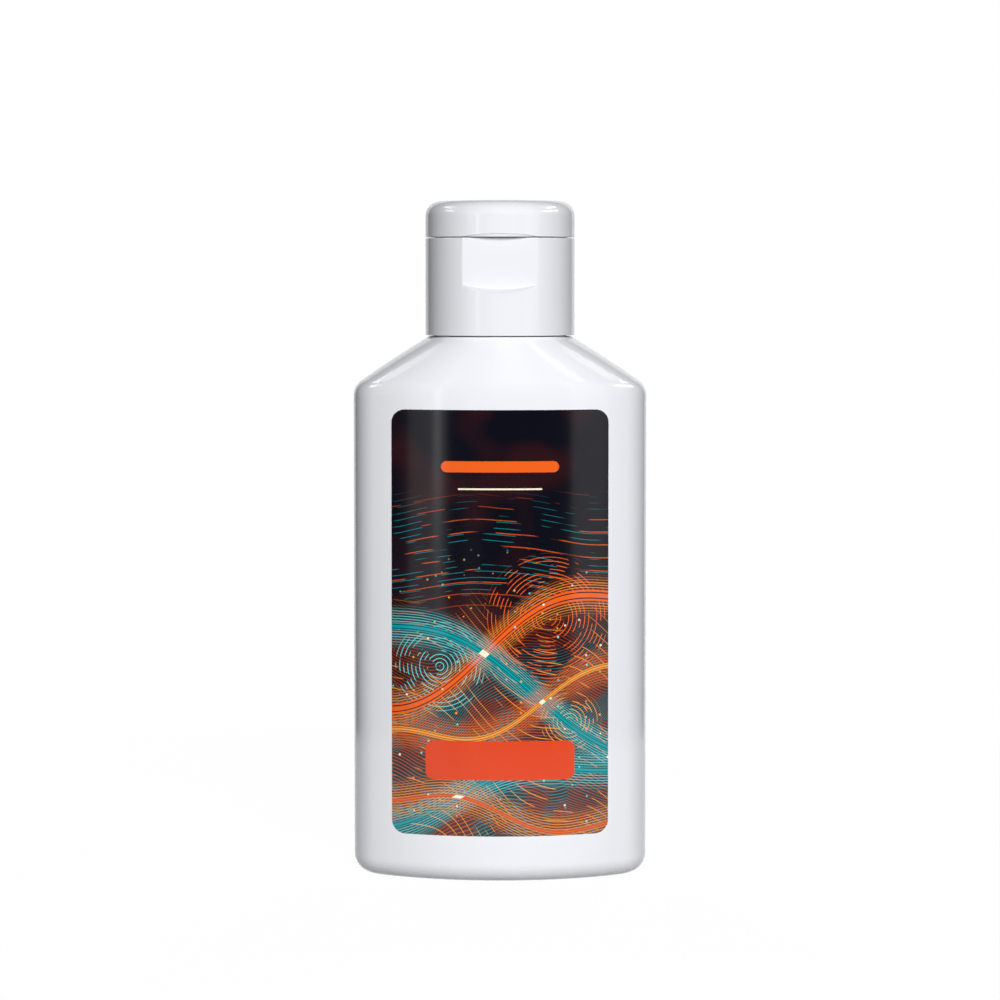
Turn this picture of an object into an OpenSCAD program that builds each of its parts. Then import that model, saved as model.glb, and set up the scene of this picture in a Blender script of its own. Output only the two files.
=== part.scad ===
// Flat oval squeeze bottle with a screw-on flip-top closure.
// Millimetres. The front faces -Y, +Z is up, and the origin is the centre of the base.

/* [Body] */
// Width of the body, side to side
body_w = 45.4; // [40:0.1:52]
// Depth of the body, front to back
body_d = 25; // [23:0.1:30]
// Radius of the narrow sides, seen from above
side_r = 7.65; // [6:0.05:9]
// Height at which the shoulder's slope would meet the straight sides
shoulder_z = 75.75; // [60:0.05:110]
// Rounding of the edge between the sides and the shoulder
shoulder_edge_r = 2.8; // [1.2:0.1:4]
// Rise of the shoulder from that edge to its flat top
shoulder_h = 7.7; // [6:0.1:11]
// How far the slope bows out from a straight line
shoulder_bow = 0.13; // [0:0.01:0.4]
// How far the closure stands out past the round top of the shoulder
shoulder_lip = 0.55; // [0.3:0.05:1]
// Rounding of the outer edge of the base
base_edge_r = 2.9; // [1.5:0.1:4]
// Width of the flat ring that the bottle stands on
foot_w = 2; // [1:0.1:2.6]
// Height of the hollow under the base
push_up = 1; // [0.4:0.1:2]
// Thickness of the blown wall
bottle_wall = 0.7; // [0.5:0.05:1.1]

/* [Neck] */
// Height of the neck above the shoulder
neck_h = 12.8; // [11.5:0.1:16]
// Diameter over the thread's crest
thread_d = 17.7; // [15.8:0.1:20]
// Height of the thread above the neck's wall
thread_height = 0.95; // [0.7:0.05:1.1]
// Thickness of the neck's wall
neck_wall = 1.4; // [1:0.05:2]
// Rise of the thread in one turn
thread_pitch = 3.175; // [2.8:0.005:3.5]
// Length of the thread on the neck, in turns
thread_turns = 1.5; // [1:0.25:1.75]
// Height of the thread's lower end above the shoulder
thread_start_z = 6.2; // [5.8:0.1:7]
// Width of the thread where it leaves the neck
thread_root_w = 1.7; // [1.3:0.05:1.8]
// Width of the thread's crest
thread_crest_w = 0.7; // [0.4:0.05:0.9]
// Gap between the support ring under the thread and the closure's skirt
ring_gap = 0.65; // [0.4:0.05:1.2]
// Height of the support ring's underside above the shoulder
ring_z = 0.9; // [0.6:0.1:1.2]
// Thickness of the support ring
ring_t = 1.3; // [1:0.1:1.4]

/* [Labels] */
// Gap between a label's side and the edge of the body's face
label_side_gap = 2.9; // [1:0.1:8]
// Gap between a label's upper edge and the rounded edge of the shoulder
label_top_gap = 1.9; // [0.5:0.1:20]
// Gap between a label's lower edge and the rounded edge of the base
label_base_gap = 4.3; // [0.5:0.1:20]
// Rounding of a label's corners
label_corner_r = 2; // [0.5:0.1:4]
// Thickness of the label film
label_t = 0.1; // [0.06:0.01:0.2]

/* [Closure] */
// Gap between the shoulder and the closure's skirt
skirt_gap = 0.3; // [0.2:0.05:0.5]
// Thickness of the outer skirt
skirt_wall = 0.9; // [0.7:0.05:1]
// Space between the outer skirt and the threaded sleeve
skirt_space = 0.65; // [0.4:0.05:1.5]
// Radial gap between the neck's thread and the closure's sleeve
thread_gap = 0.2; // [0.15:0.01:0.3]
// Free play between the flanks of the two threads
flank_gap = 0.15; // [0.1:0.01:0.3]
// Thickness of the threaded sleeve
sleeve_wall = 0.95; // [0.7:0.05:1]
// Gap between the support ring and the sleeve's lower end
sleeve_gap = 0.4; // [0.2:0.05:1]
// Thickness of the closure's deck
deck_t = 1.1; // [0.8:0.05:1.5]
// Depth of the deck below the closure's upper edge
deck_drop = 0.34; // [0.1:0.02:0.8]
// Rounding of the closure's thin outer edges
cap_edge_r = 0.12; // [0.05:0.01:0.2]
// Thickness of the seal ring between neck and deck
seal_t = 0.8; // [0.5:0.05:1.5]
// Diameter of the hole through the seal ring
seal_hole_d = 7; // [5:0.1:9]
// Radial gap between the seal ring and the sleeve
seal_gap = 0.3; // [0.1:0.05:0.6]

/* [Spout] */
// Diameter of the spout
spout_d = 6.4; // [5:0.1:7.5]
// Height of the spout above the deck
spout_h = 2.2; // [1.4:0.1:2.8]
// Diameter of the opening through the spout
orifice_d = 3.2; // [2:0.1:4]
// Radial gap between the collar and the lid that closes over it
collar_gap = 0.5; // [0.2:0.05:1]
// Thickness of the collar
collar_wall = 0.6; // [0.5:0.05:1]
// Height of the collar above the deck
collar_h = 1.4; // [0.8:0.1:2]

/* [Thumb recess] */
// Width of the recess in the closure's front
thumb_w = 11.44; // [8:0.02:12.4]
// Height of the recess at its sides
thumb_h = 7.1; // [5:0.05:8.5]
// Depth of the curve in the recess's lower edge
thumb_sag = 0.74; // [0.2:0.02:1.4]
// Slope of the ledge below the recess, in degrees
ledge_slope = 22; // [5:1:40]

/* [Lid] */
// Height of the lid
lid_h = 5.5; // [5:0.1:8]
// Gap between the closure and the lid
lid_gap = 0.27; // [0.15:0.01:0.4]
// Rounding of the lid's upper edge
lid_corner_r = 2.3; // [1:0.1:2.6]
// Thickness of the lid's side wall
lid_wall = 1.15; // [0.9:0.05:1.2]
// Thickness of the lid's top
lid_top_t = 1.2; // [0.8:0.05:1.4]
// Height of the thumb bevel in the lid's lower edge
bevel_h = 0.45; // [0.2:0.05:0.8]
// Radial gap between the spout's opening and the pin that plugs it
plug_gap = 0.15; // [0.1:0.01:0.4]
// Depth to which the pin enters the spout
plug_depth = 1; // [0.4:0.1:1.6]
// Gap between the spout and the lid's ring around it
seat_gap = 0.25; // [0.15:0.01:0.4]
// Thickness of that ring
seat_wall = 0.65; // [0.4:0.05:0.9]
// How far that ring reaches down past the spout's top
seat_depth = 1.2; // [0.5:0.1:1.5]

/* [Hinge] */
// Height of the flat window for the hinge, above and below the seam
hinge_h = 3.2; // [2.6:0.1:3.3]
// Width of each film hinge
film_w = 2; // [1.2:0.1:2.2]
// Height of each film hinge
film_h = 1.6; // [1.2:0.1:2.4]
// Thickness of the film hinges
film_t = 0.3; // [0.2:0.02:0.4]
// Width of the spring strap between the films
strap_w = 3.4; // [2.4:0.1:3.6]
// Thickness of the spring strap
strap_t = 0.3; // [0.2:0.05:0.4]
// How far the strap bows out of the window's flat face
strap_bow = 0.8; // [0.5:0.05:0.9]
// Gap between the strap and each film
strap_gap = 0.5; // [0.3:0.05:0.8]
// Flat margin of the window beside each film
film_margin = 0.4; // [0.2:0.05:1]

/* [Hidden] */
$fn = 96;
fine_fn = 180;
small_fn = 24;

// Depth to which shapes of one piece run into each other, and how far a cut runs past a surface
join = 0.1;
over = 1;

// Neck and the closure round it, from the thread outwards
thread_r = thread_d / 2;
neck_r = thread_r - thread_height;
bore_r = neck_r - neck_wall;
neck_mid_r = (neck_r + bore_r) / 2;
sleeve_r = thread_r + thread_gap;
cap_r = sleeve_r + sleeve_wall + skirt_space + skirt_wall;
ring_r = cap_r - skirt_wall - ring_gap;
ring_chamfer = 0.25;
neck_chamfer = 0.25;
neck_root_depth = 1.1;
thread_steps = 32;
thread_sink = 0.25;
thread_fade = 30;
thread_end_share = 0.1;
inner_crest_r = neck_r + thread_gap;
inner_crest_w = 0.6;
inner_root_w = 1.5;

// Half of the two threads' widths halfway up their flanks, plus the play between them
thread_offset = (thread_root_w + thread_crest_w + inner_root_w + inner_crest_w) / 4 + flank_gap;

// Outline of the body seen from above: two face arcs and two side arcs that meet smoothly
half_w = body_w / 2;
half_d = body_d / 2;
side_share = (half_d - side_r) / (half_w - half_d);
face_r = half_d + (half_w - half_d) * (1 + 2 * side_share) / (2 * side_share);
join_angle = asin((half_w - side_r) / (face_r - side_r));
face_steps = 14;
side_steps = 18;

// Shoulder
shoulder_top_z = shoulder_z + shoulder_h;
shoulder_top_r = cap_r - shoulder_lip;
shoulder_run = half_w - shoulder_top_r;
slope_at_edge = atan((shoulder_h + 4 * shoulder_bow) / shoulder_run);
edge_turn = 90 - slope_at_edge;
edge_centre_z = shoulder_z - shoulder_edge_r * tan(edge_turn / 2);
edge_steps = 6;
slope_steps = 7;
inner_edge_steps = 4;
inner_slope_steps = 5;
top_plate_t = 0.8;
top_plate_inset = 1;

// Base
foot_inset = base_edge_r + foot_w;
inner_base_r = base_edge_r - bottle_wall;
base_steps = 6;
inner_base_steps = 4;
base_centre_share = 0.4;

// Labels
label_half_w = face_r * sin(join_angle) - label_side_gap;
label_z = base_edge_r + label_base_gap;
label_top_z = edge_centre_z - label_top_gap;

// Start of the closure's thread, which lies on the same helix as the neck's, lower by the offset
inner_thread_turn = -90;
inner_thread_z = shoulder_top_z + thread_start_z - thread_offset + thread_pitch * inner_thread_turn / 360;

// Heights of the closure
neck_top_z = shoulder_top_z + neck_h;
cap_z = shoulder_top_z + skirt_gap;
sleeve_z = shoulder_top_z + ring_z + ring_t + sleeve_gap;
deck_z = neck_top_z + seal_t;
deck_top_z = deck_z + deck_t;
seam_z = deck_top_z + deck_drop;
spout_r = spout_d / 2;
spout_top_z = deck_top_z + spout_h;
spout_edge_r = 0.2;
collar_r = cap_r - lid_wall - collar_gap;
block_margin = 0.8;
block_floor = 1.2;
thumb_face_y = sqrt(cap_r * cap_r - thumb_w * thumb_w / 4);

// Lid
lid_z = seam_z + lid_gap;
lid_top_z = lid_z + lid_h;
lid_under_z = lid_top_z - lid_top_t;
lid_chamfer = 1;
lid_pad_gap = 0.2;
pin_r = orifice_d / 2 - plug_gap;
pin_edge_r = 0.3;

// Hinge
seam_mid_z = seam_z + lid_gap / 2;
hinge_w = strap_w + 2 * (strap_gap + film_w + film_margin);
hinge_face_y = sqrt(cap_r * cap_r - hinge_w * hinge_w / 4);
film_x = strap_w / 2 + strap_gap + film_w / 2;

// One level of the body's outline: half width a and half depth b at height z
function level_point(angle, a, b, z) =
    let (
        r = b - side_share * (a - b),
        big_r = b + (a - b) * (1 + 2 * side_share) / (2 * side_share),
        turn = angle > 180 ? angle - 360 : angle,
        up = abs(turn) > 90 ? 180 - abs(turn) : abs(turn),
        on_face = up <= join_angle,
        x = on_face ? big_r * sin(up) : a - r + r * sin(up),
        y = on_face ? big_r * cos(up) - (big_r - b) : r * cos(up)
    )
    [sign(turn) * x, abs(turn) > 90 ? y : -y, z];

// Directions that the outline's points face, counted from the front
outline_angles = concat(
    [for (i = [0 : face_steps - 1]) -join_angle + 2 * join_angle * i / face_steps],
    [for (i = [0 : side_steps - 1]) join_angle + (180 - 2 * join_angle) * i / side_steps],
    [for (i = [0 : face_steps - 1]) 180 - join_angle + 2 * join_angle * i / face_steps],
    [for (i = [0 : side_steps - 1]) 180 + join_angle + (180 - 2 * join_angle) * i / side_steps]
);
function level(p) = [for (angle = outline_angles) level_point(angle, p[0], p[1], p[2])];

// Half depth that belongs to a half width on the shoulder
function shoulder_b(a) = half_d + (shoulder_top_r - half_d) * (half_w - a) / shoulder_run;

// Shoulder's profile as [half width, height, slope of its normal], from the edge to the top
function edge_point(t) =
    [half_w - shoulder_edge_r * (1 - cos(edge_turn * t)),
     edge_centre_z + shoulder_edge_r * sin(edge_turn * t),
     edge_turn * t];
edge_end = edge_point(1);
slope_run = edge_end[0] - shoulder_top_r;
slope_rise = shoulder_top_z - edge_end[1];
function slope_point(t) =
    [edge_end[0] - slope_run * t,
     edge_end[1] + slope_rise * t + 4 * shoulder_bow * t * (1 - t),
     90 - atan((slope_rise + 4 * shoulder_bow * (1 - 2 * t)) / slope_run)];
function shoulder_profile(edge_steps, slope_steps) = concat(
    [for (i = [0 : edge_steps]) edge_point(i / edge_steps)],
    [for (i = [1 : slope_steps]) slope_point(i / slope_steps)]
);

// A level of the outer skin, and the level of the inner skin behind it
function outer_level(p) = [p[0], shoulder_b(p[0]), p[1]];
function inner_level(p) =
    [p[0] - bottle_wall * cos(p[2]), shoulder_b(p[0]) - bottle_wall, p[1] - bottle_wall * sin(p[2])];

// Levels of the rounded base, drawn in by d from the straight sides
function base_level(d, z) = [half_w - d, half_d - d, z];
function base_arc(r, inset, floor_z, steps) = [
    for (i = [0 : steps])
        let (angle = 90 * i / steps)
        base_level(inset + r * (1 - sin(angle)), floor_z + r * (1 - cos(angle)))
];
function base_centre(inset, z) =
    [(half_w - inset) * base_centre_share, (half_d - inset) * base_centre_share, z];
function reversed(list) = [for (i = [len(list) - 1 : -1 : 0]) list[i]];

outer_levels = concat(
    [base_centre(foot_inset + push_up, push_up),
     base_level(foot_inset + push_up, push_up),
     base_level(foot_inset, 0)],
    base_arc(base_edge_r, 0, 0, base_steps),
    [for (p = shoulder_profile(edge_steps, slope_steps)) outer_level(p)],
    [[neck_mid_r, neck_mid_r, shoulder_top_z]]
);
inner_levels = concat(
    [[neck_mid_r, neck_mid_r, shoulder_top_z - top_plate_t],
     [shoulder_top_r - top_plate_inset, shoulder_top_r - top_plate_inset, shoulder_top_z - top_plate_t]],
    [for (p = reversed(shoulder_profile(inner_edge_steps, inner_slope_steps)))
        if (p[0] > shoulder_top_r) inner_level(p)],
    reversed(base_arc(inner_base_r, bottle_wall, bottle_wall, inner_base_steps)),
    [base_level(foot_inset, bottle_wall),
     base_level(foot_inset + push_up, push_up + bottle_wall),
     base_centre(foot_inset + push_up, push_up + bottle_wall)]
);

// Closed skin over a stack of rings that have the same number of points
module skin(rings, start, end) {
    n = len(rings[0]);
    last = len(rings) - 1;
    points = concat([for (ring = rings) each ring], [start, end]);
    walls = [
        for (k = [0 : last - 1])
            for (i = [0 : n - 1])
                let (j = (i + 1) % n)
                each [
                    [k * n + i, (k + 1) * n + i, (k + 1) * n + j],
                    [k * n + i, (k + 1) * n + j, k * n + j]
                ]
    ];
    first_cap = [for (i = [0 : n - 1]) [len(points) - 2, i, (i + 1) % n]];
    last_cap = [for (i = [0 : n - 1]) [len(points) - 1, last * n + (i + 1) % n, last * n + i]];
    polyhedron(points, concat(walls, first_cap, last_cap), convexity = 6);
}

// One thread: a trapezium swept along a helix, fading in and out at its ends
module thread(root_r, crest_r, root_w, crest_w, start_z, start_angle, turns) {
    steps = round(turns * thread_steps);
    sunk = root_r + (crest_r > root_r ? -thread_sink : thread_sink);
    root_half = root_w / 2;
    crest_half = crest_w / 2;
    rings = [
        for (i = [0 : steps])
            let (
                along = 360 * turns * i / steps,
                angle = start_angle + along,
                from_end = min(along, 360 * turns - along),
                fade = max(thread_end_share, min(1, from_end / thread_fade)),
                crest = root_r + (crest_r - root_r) * fade,
                z = start_z + thread_pitch * along / 360,
                corners = [[sunk, -root_half], [crest, -crest_half], [crest, crest_half], [sunk, root_half]]
            )
            [for (p = corners) [p[0] * cos(angle), p[0] * sin(angle), z + p[1]]]
    ];
    n = 4;
    inward = crest_r < root_r;
    walls = [
        for (k = [0 : steps - 1])
            for (i = [0 : n - 1])
                let (j = (i + 1) % n)
                each [
                    [k * n + i, (k + 1) * n + i, (k + 1) * n + j],
                    [k * n + i, (k + 1) * n + j, k * n + j]
                ]
    ];
    end = steps * n;
    ends = [[0, 1, 2], [0, 2, 3], [end, end + 2, end + 1], [end, end + 3, end + 2]];
    faces = concat(walls, ends);
    polyhedron(
        [for (ring = rings) each ring],
        inward ? faces : [for (f = faces) [f[2], f[1], f[0]]],
        convexity = 6
    );
}

// Rectangle in the half section of a turned part, from one corner to the other
module band(r0, z0, r1, z1) {
    translate([r0, z0])
        square([r1 - r0, z1 - z0]);
}

// The same with its outer corners rounded, the lower one by low_r and the upper one by high_r
module rounded_band(r0, z0, r1, z1, low_r, high_r) {
    band(r0, z0 + low_r, r1, z1 - high_r);
    band(r0, z0, r1 - low_r, z0 + low_r + join);
    band(r0, z1 - high_r - join, r1 - high_r, z1);
    translate([r1 - low_r, z0 + low_r])
        circle(low_r);
    translate([r1 - high_r, z1 - high_r])
        circle(high_r);
}

// Blow-moulded body with its moulded neck
module bottle() {
    color("white")
        union() {
            skin([for (p = concat(outer_levels, inner_levels)) level(p)],
                 [0, 0, push_up], [0, 0, push_up + bottle_wall]);
            rotate_extrude()
                neck_section();
            thread(neck_r, thread_r, thread_root_w, thread_crest_w,
                   shoulder_top_z + thread_start_z, 0, thread_turns);
        }
}

// Half section of the neck: tube, chamfered lip and support ring
module neck_section() {
    difference() {
        band(bore_r, shoulder_top_z - neck_root_depth, neck_r, neck_top_z);
        translate([neck_r, neck_top_z])
            rotate(45)
                square(neck_chamfer * sqrt(2), center = true);
        translate([bore_r, neck_top_z])
            rotate(45)
                square(neck_chamfer * sqrt(2), center = true);
    }
    translate([0, shoulder_top_z + ring_z])
        polygon([
            [neck_mid_r, 0],
            [ring_r - ring_chamfer, 0],
            [ring_r, ring_chamfer],
            [ring_r, ring_t - ring_chamfer],
            [ring_r - ring_chamfer, ring_t],
            [neck_mid_r, ring_t]
        ]);
}

// Label film: a sheet bent round the body's face, cut to a rounded rectangle
module label_film() {
    intersection() {
        translate([0, face_r - half_d, 0])
            difference() {
                cylinder(r = face_r + label_t, h = label_top_z + over, $fn = fine_fn);
                translate([0, 0, -over])
                    cylinder(r = face_r, h = label_top_z + 3 * over, $fn = fine_fn);
            }
        rotate([90, 0, 0])
            linear_extrude(half_d + over)
                label_outline();
    }
}

module label_outline() {
    inner_x = label_half_w - label_corner_r;
    inner_z = [label_z + label_corner_r, label_top_z - label_corner_r];
    translate([-inner_x, label_z])
        square([2 * inner_x, label_top_z - label_z]);
    translate([-label_half_w, inner_z[0]])
        square([2 * label_half_w, inner_z[1] - inner_z[0]]);
    for (x = [-inner_x, inner_x])
        for (z = inner_z)
            translate([x, z])
                circle(label_corner_r);
}

module front_label() {
    color("midnightblue")
        label_film();
}

module back_label() {
    color("white")
        mirror([0, 1, 0])
            label_film();
}

// Foam ring between the neck's lip and the closure's deck
module seal_ring() {
    color("whitesmoke")
        rotate_extrude()
            band(seal_hole_d / 2, neck_top_z, sleeve_r - seal_gap, deck_z);
}

// Lower half of the closure: skirt, threaded sleeve, deck, collar and spout
module closure_base() {
    color("white")
        difference() {
            union() {
                rotate_extrude()
                    closure_section();
                backing_block(thumb_w, thumb_h + thumb_sag + block_floor);
                mirror([0, 1, 0])
                    backing_block(hinge_w, hinge_h + block_floor);
                thread(sleeve_r, inner_crest_r, inner_root_w, inner_crest_w,
                       inner_thread_z, inner_thread_turn, thread_turns);
            }
            thumb_cut();
            hinge_window();
        }
}

module closure_section() {
    difference() {
        union() {
            rounded_band(cap_r - skirt_wall, cap_z, cap_r, seam_z, cap_edge_r, cap_edge_r, $fn = small_fn);
            band(0, deck_z, cap_r - skirt_wall + join, deck_top_z);
            band(sleeve_r, sleeve_z, sleeve_r + sleeve_wall, deck_z + join);
            band(collar_r - collar_wall, deck_top_z - join, collar_r, deck_top_z + collar_h);
            rounded_band(0, deck_z, spout_r, spout_top_z, spout_edge_r, spout_edge_r, $fn = small_fn);
        }
        band(-over, deck_z - over, orifice_d / 2, spout_top_z + over);
    }
}

// Material between skirt and sleeve, behind a flat face of width w, from the seam down to depth d
module backing_block(w, d) {
    intersection() {
        translate([0, 0, seam_z - d])
            cylinder(r = cap_r - skirt_wall / 2, h = d);
        translate([-w / 2 - block_margin, -cap_r, seam_z - d])
            cube([w + 2 * block_margin, cap_r - sleeve_r - sleeve_wall / 2, d]);
    }
}

// Thumb recess: flat face with a curved ledge that slopes down and out
module thumb_cut() {
    ledge_r = thumb_w * thumb_w / (8 * thumb_sag) + thumb_sag / 2;
    ledge_z = seam_z - thumb_h - thumb_sag;
    recess_depth = cap_r - thumb_face_y;
    intersection() {
        translate([-thumb_w / 2 - over, -cap_r - over, ledge_z - recess_depth])
            cube([thumb_w + 2 * over, recess_depth + over, seam_z + over - ledge_z + recess_depth]);
        translate([0, -thumb_face_y, ledge_z])
            rotate([ledge_slope, 0, 0])
                translate([0, cap_r, ledge_r])
                    rotate([90, 0, 0])
                        cylinder(r = ledge_r, h = 2 * cap_r, $fn = fine_fn);
    }
}

// Window with a flat face at the back of base and lid, where the hinge sits
module hinge_window() {
    translate([-cap_r, hinge_face_y, seam_mid_z - hinge_h])
        cube([2 * cap_r, cap_r, 2 * hinge_h]);
}

// Upper half of the closure: cap with a plug pin and a seat ring inside
module lid() {
    color("white")
        difference() {
            union() {
                rotate_extrude()
                    lid_section();
                lid_pad();
            }
            thumb_bevel();
            hinge_window();
        }
}

// Thicker wall inside the lid, behind the hinge window
module lid_pad() {
    pad_y = collar_r + lid_pad_gap;
    intersection() {
        translate([0, 0, lid_z])
            cylinder(r = cap_r - lid_wall / 2, h = hinge_h);
        translate([-hinge_w / 2 - block_margin, pad_y, lid_z])
            cube([hinge_w + 2 * block_margin, cap_r, hinge_h]);
    }
}

// Half section of the lid: shell, plug pin and the ring that sits round the spout
module lid_section() {
    inside_r = cap_r - lid_wall;
    pin_tip_z = spout_top_z - plug_depth;
    seat_r = spout_r + seat_gap;
    difference() {
        rounded_band(0, lid_z, cap_r, lid_top_z, cap_edge_r, lid_corner_r);
        difference() {
            band(-over, lid_z - over, inside_r, lid_under_z);
            translate([inside_r, lid_under_z])
                rotate(45)
                    square(lid_chamfer * sqrt(2), center = true);
        }
    }
    rounded_band(0, pin_tip_z, pin_r, lid_top_z - pin_edge_r, pin_edge_r, pin_edge_r, $fn = small_fn);
    band(seat_r, spout_top_z - seat_depth, seat_r + seat_wall, lid_under_z + join);
}

// Slanted cut under the lid's front edge, a lens in the front view
module thumb_bevel() {
    slope = atan(bevel_h / (cap_r - thumb_face_y));
    translate([0, -thumb_face_y, lid_z])
        rotate([slope, 0, 0])
            translate([-cap_r, -cap_r, -lid_h])
                cube([2 * cap_r, cap_r, lid_h]);
}

// Thin strip across the seam on the window's face, centred on x
module hinge_film(x) {
    color("white")
        translate([x - film_w / 2, hinge_face_y, seam_mid_z - film_h / 2])
            cube([film_w, film_t, film_h]);
}

module hinge_film_left() {
    hinge_film(-film_x);
}

module hinge_film_right() {
    hinge_film(film_x);
}

// Bowed spring strap that snaps the lid open and shut
module hinge_strap() {
    bow = strap_bow - strap_t;
    reach = hinge_h - strap_t;
    bow_r = (reach * reach + bow * bow) / (2 * bow);
    color("white")
        intersection() {
            translate([0, hinge_face_y + bow - bow_r, seam_mid_z])
                rotate([0, 90, 0])
                    difference() {
                        cylinder(r = bow_r + strap_t, h = strap_w, center = true, $fn = fine_fn);
                        cylinder(r = bow_r, h = strap_w + over, center = true, $fn = fine_fn);
                    }
            translate([-cap_r, hinge_face_y, seam_mid_z - hinge_h])
                cube([2 * cap_r, strap_bow + over, 2 * hinge_h]);
        }
}

bottle();
front_label();
back_label();
seal_ring();
closure_base();
lid();
hinge_film_left();
hinge_film_right();
hinge_strap();
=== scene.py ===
import math

import bpy
import numpy as np
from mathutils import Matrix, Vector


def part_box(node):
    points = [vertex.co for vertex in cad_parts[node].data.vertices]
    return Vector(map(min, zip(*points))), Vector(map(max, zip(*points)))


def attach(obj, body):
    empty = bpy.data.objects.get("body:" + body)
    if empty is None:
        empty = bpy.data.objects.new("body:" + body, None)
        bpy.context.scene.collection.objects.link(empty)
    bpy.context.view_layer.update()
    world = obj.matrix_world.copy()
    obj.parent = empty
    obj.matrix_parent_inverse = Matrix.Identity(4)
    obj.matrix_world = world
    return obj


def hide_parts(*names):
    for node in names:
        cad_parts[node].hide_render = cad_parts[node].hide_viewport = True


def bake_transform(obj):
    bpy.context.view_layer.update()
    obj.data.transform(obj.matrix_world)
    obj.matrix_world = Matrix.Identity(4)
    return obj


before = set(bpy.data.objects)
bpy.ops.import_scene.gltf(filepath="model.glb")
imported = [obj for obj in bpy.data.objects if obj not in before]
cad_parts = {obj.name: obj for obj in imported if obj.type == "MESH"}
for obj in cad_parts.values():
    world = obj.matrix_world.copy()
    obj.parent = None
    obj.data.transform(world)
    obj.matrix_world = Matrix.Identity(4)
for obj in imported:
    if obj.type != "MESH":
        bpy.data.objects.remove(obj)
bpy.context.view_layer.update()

# Camera. It stands a little over half a metre in front of the bottle, level with the closure,
# and looks slightly down, which is the photograph's view. Its distance and height are in metres.
camera_lens = 133.45
camera_distance = 0.57493
camera_height = 0.09193
camera_dip = 3.378
scene = bpy.context.scene
scene.view_settings.view_transform = "Standard"
camera_data = bpy.data.cameras.new("camera")
camera_data.sensor_width = 36
camera_data.lens = camera_lens
camera = bpy.data.objects.new("camera", camera_data)
camera.location = (0, -camera_distance, camera_height)
camera.rotation_euler = (math.radians(90 - camera_dip), 0, 0)
scene.collection.objects.link(camera)
scene.camera = camera

# Bottle. One blow-moulded body of opaque white plastic, oval in plan, with its screw neck.
# The mould's two halves leave a fine parting line down each side, and the wall's outside is
# glossy with the slight waviness of blown plastic.
MM = 0.001


def corners_of(node):
    """Lowest and highest corner of a node of the frame, in millimetres."""
    return [np.round(np.array(corner) / MM, 3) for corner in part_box(node)]


_, (half_w, half_d, neck_top_z) = corners_of("bottle")
side_r = 7.65
wall = 0.7
base_edge_r = 2.9
foot_w = 2
push_up = 1
shoulder_z = 75.75
shoulder_h = 7.7
shoulder_bow = 0.13
shoulder_edge_r = 2.8
shoulder_top_z = shoulder_z + shoulder_h
shoulder_top_r = 11.0
shoulder_run = half_w - shoulder_top_r
edge_turn = 90 - math.degrees(math.atan((shoulder_h + 4 * shoulder_bow) / shoulder_run))
edge_centre_z = shoulder_z - shoulder_edge_r * math.tan(math.radians(edge_turn / 2))
neck_r = 7.9
neck_root_r = 10.4
neck_root_w = 1
neck_root_rise = 0.03
neck_root_h = 0.27
bore_r = 6.5
support_r = 10.0
support_z = [shoulder_top_z + 0.9, shoulder_top_z + 2.2]
top_plate_z = shoulder_top_z - 0.8
top_plate_r = shoulder_top_r - 1
parting_height = 0.03
parting_turn = 0.9
thread_pitch = 3.175
thread_turns = 1.5
thread_height = 0.95
thread_sink = 0.25
thread_root_w = 1.7
thread_crest_w = 0.7
thread_start_z = shoulder_top_z + 6.2
thread_run_out = 4.1

# The oval is made of four arcs: two wide ones in front and behind, and two tight ones beside.
side_share = (half_d - side_r) / (half_w - half_d)
join_sine = 2 * side_share * (1 + side_share) / (1 + 2 * side_share + 2 * side_share ** 2)
join_angle = math.degrees(math.asin(join_sine))
face_r = half_d + (half_w - half_d) * (1 + 2 * side_share) / (2 * side_share)


def oval(facing, a, b):
    """Points of ovals of half width a and half depth b, where the wall faces these ways from the front."""
    side = b - side_share * (a - b)
    face = b + (a - b) * (1 + 2 * side_share) / (2 * side_share)
    turn = (facing + 180) % 360 - 180
    up = np.radians(np.where(abs(turn) > 90, 180 - abs(turn), abs(turn)))
    on_face = up <= math.radians(join_angle)
    x = np.where(on_face, face * np.sin(up), a - side + side * np.sin(up))
    y = np.where(on_face, face * np.cos(up) - face + b, side * np.cos(up))
    return np.sign(turn) * x, np.where(abs(turn) > 90, y, -y)


def fillet_steps(fillet, least=5, per_millimetre=6):
    """How many short edges make up the arc of a fillet."""
    return least + round(per_millimetre * fillet)


def rounded(corners, closed=False):
    """Profile through corners given as (radius, height, fillet), with an arc at each fillet."""
    points = []
    for i, (radius, height, fillet) in enumerate(corners):
        here = np.array((radius, height), float)
        if fillet == 0 or (not closed and i in (0, len(corners) - 1)):
            points.append(here)
            continue
        back = np.array(corners[i - 1][:2]) - here
        ahead = np.array(corners[(i + 1) % len(corners)][:2]) - here
        back /= np.linalg.norm(back)
        ahead /= np.linalg.norm(ahead)
        half = math.acos(np.clip(back @ ahead, -1, 1)) / 2
        reach = fillet / math.tan(half)
        centre = here + (back + ahead) / np.linalg.norm(back + ahead) * fillet / math.sin(half)
        first = here + back * reach - centre
        last = here + ahead * reach - centre
        sweep = math.pi - 2 * half
        for t in np.linspace(0, 1, fillet_steps(fillet) + 1):
            points.append(centre + (math.sin((1 - t) * sweep) * first + math.sin(t * sweep) * last)
                          / math.sin(sweep))
    return np.array(points)


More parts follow.
